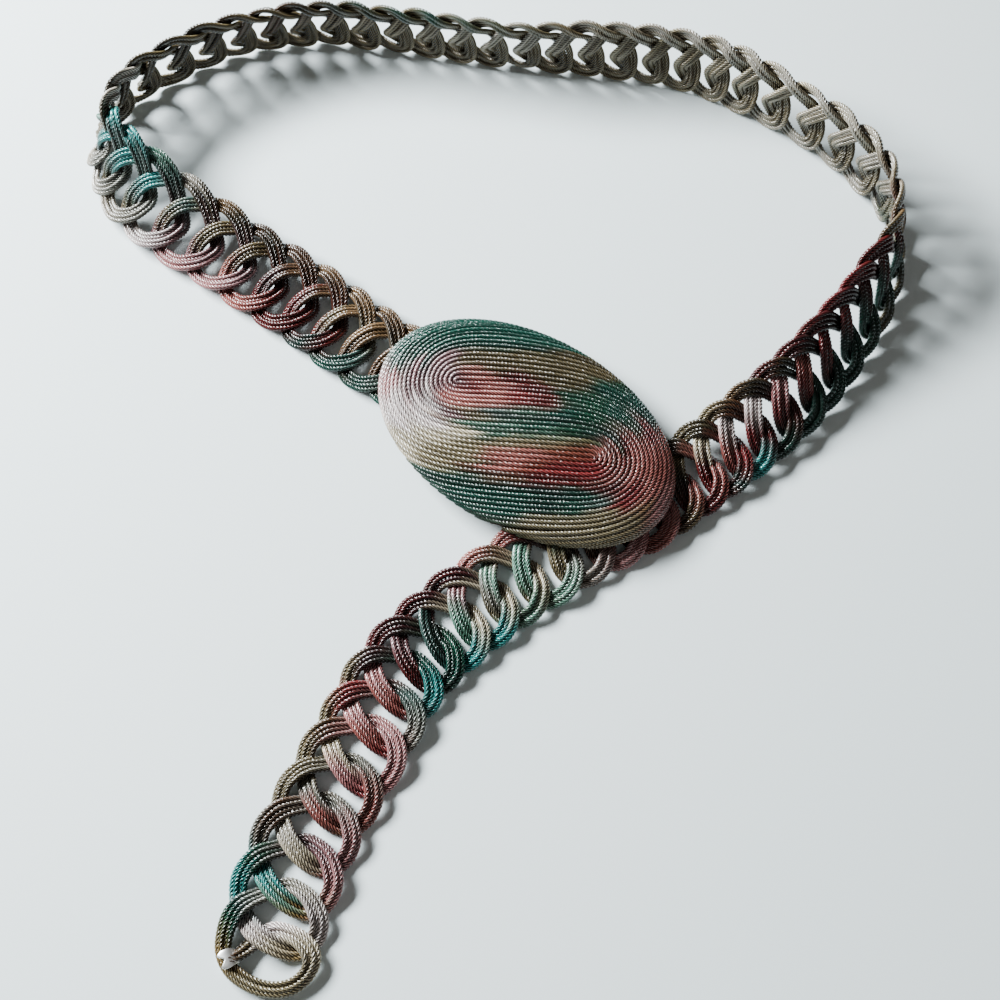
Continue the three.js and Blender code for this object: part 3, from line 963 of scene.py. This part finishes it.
def makeCore():
    sides = core["sides"]
    inset = buckleCord["radius"] * core["inset"]
    profile = [(0.0, 0.0), (core["flat"], 0.0), (core["edge"], core["foot"])]
    profile += [(math.cos(a), None) for a in np.linspace(0.0, math.pi / 2, core["rings"])[:-1]]
    verts, faces = [(0.0, 0.0, 0.0)], []
    rings = []
    for share, height in profile[1:]:
        if height is None:
            height = buckle["rim"] + float(domeHeight(share)) - inset
        height = max(height, core["foot"] if share > core["steep"] else height)
        ring = []
        for k in range(sides):
            a = 2 * math.pi * k / sides
            ring.append(len(verts))
            verts.append((
                (buckle["halfLength"] - inset) * share * math.cos(a),
                (buckle["halfWidth"] - inset) * share * math.sin(a), height,
            ))
        rings.append(ring)
    top = len(verts)
    verts.append((0.0, 0.0, buckle["rim"] + float(domeHeight(0.0)) - inset))
    for k in range(sides):
        n = (k + 1) % sides
        faces.append((0, rings[0][n], rings[0][k]))
        for a, b in zip(rings, rings[1:]):
            faces.append((a[k], a[n], b[n], b[k]))
        faces.append((rings[-1][k], rings[-1][n], top))
    v = np.array(verts)
    c, s = math.cos(buckle["turn"]), math.sin(buckle["turn"])
    out = np.column_stack([v[:, 0] * c - v[:, 1] * s, v[:, 0] * s + v[:, 1] * c, v[:, 2]])
    out += np.array([*buckle["centre"], buckle["back"]]) - boxCentre
    mesh = bpy.data.meshes.new("buckle_core")
    mesh.from_pydata((out * mm).tolist(), [], faces)
    mesh.shade_smooth()
    oval = bpy.data.objects.new("buckle_core", mesh)
    bpy.context.collection.objects.link(oval)
    material = bpy.data.materials.new("buckle_core")
    material.use_nodes = True
    shader = material.node_tree.nodes["Principled BSDF"]
    shader.inputs["Base Color"].default_value = (*linear("darkOlive"), 1.0)
    shader.inputs["Roughness"].default_value = core["roughness"]
    mesh.materials.append(material)
    return oval


for name, piece in (
    ("buckle_cords", layCord("buckle_cords", plaqueCords(), buckleCord, buckleMaterial)),
    ("buckle_core", makeCore()),
):
    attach(piece, "root")
    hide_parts("buckle_plaque")
print("buckle", flush=True)

brightMetal = {"colour": (0.9, 0.9, 0.88), "roughness": 0.36}
silver = bpy.data.materials.new("bright_metal")
silver.use_nodes = True
shader = silver.node_tree.nodes["Principled BSDF"]
shader.inputs["Base Color"].default_value = (*brightMetal["colour"], 1.0)
shader.inputs["Metallic"].default_value = 1.0
shader.inputs["Roughness"].default_value = brightMetal["roughness"]
hook = bpy.data.objects["hidden_hook"].data
hook.materials.clear()
hook.materials.append(silver)

# A strip bent round the band, notched at its top edge where the cut ends go in.
clip = {
    "stitch": 67.0, "across": -0.76, "length": 5.6, "halfWidth": 3.1, "halfHeight": 2.0,
    "wall": 0.5, "underEdge": -0.8, "notch": 0.52, "horns": 0.72,
    "hornPower": 1.6, "belly": 0.1, "taper": 0.18, "rowsAlong": 12, "rowsRound": 24,
}


def makeClip():
    at, face = chainPoints(np.array([[clip["stitch"], clip["across"], 0.0, 1.0]]))
    beside, _ = chainPoints(tip[1:3])
    along = unit(beside[1] - beside[0])
    out = unit(np.cross(face[0], along))
    rowsAlong, rowsRound = clip["rowsAlong"], clip["rowsRound"]
    verts, faces = [], []
    for i in range(rowsAlong + 1):
        b = 2 * i / rowsAlong - 1
        horn = math.sin(math.pi * abs(b) ** clip["hornPower"])
        top = clip["notch"] + (clip["horns"] - clip["notch"]) * horn
        for j in range(rowsRound + 1):
            a = math.pi * (clip["underEdge"] + (top - clip["underEdge"]) * j / rowsRound)
            belly = 1 - clip["belly"] * b**2
            reach = b * clip["length"] / 2 * (1 - clip["taper"] * max(math.cos(a), 0.0) ** 2)
            verts.append(
                at[0] - boxCentre + out * math.cos(a) * clip["halfWidth"] * belly
                + face[0] * math.sin(a) * clip["halfHeight"] * belly + along * reach
            )
    for i in range(rowsAlong):
        for j in range(rowsRound):
            k = i * (rowsRound + 1) + j
            faces.append((k, k + 1, k + rowsRound + 2, k + rowsRound + 1))
    mesh = bpy.data.meshes.new("clip_sheet")
    mesh.from_pydata((np.array(verts) * mm).tolist(), [], faces)
    mesh.materials.append(silver)
    sheet = bpy.data.objects.new("clip_sheet", mesh)
    bpy.context.collection.objects.link(sheet)
    wall = sheet.modifiers.new("wall", "SOLIDIFY")
    wall.thickness = clip["wall"] * mm
    wall.offset = 1.0
    softened = sheet.modifiers.new("round", "SUBSURF")
    softened.levels = 1
    softened.render_levels = 1
    graph = bpy.context.evaluated_depsgraph_get()
    result = bpy.data.meshes.new_from_object(sheet.evaluated_get(graph), depsgraph=graph)
    bpy.data.objects.remove(sheet)
    result.shade_smooth()
    piece = bpy.data.objects.new("bent_clip", result)
    result.name = "bent_clip"
    bpy.context.collection.objects.link(piece)
    return piece


clipPiece = makeClip()
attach(clipPiece, "root")
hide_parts("end_clip")
print("metal", flush=True)
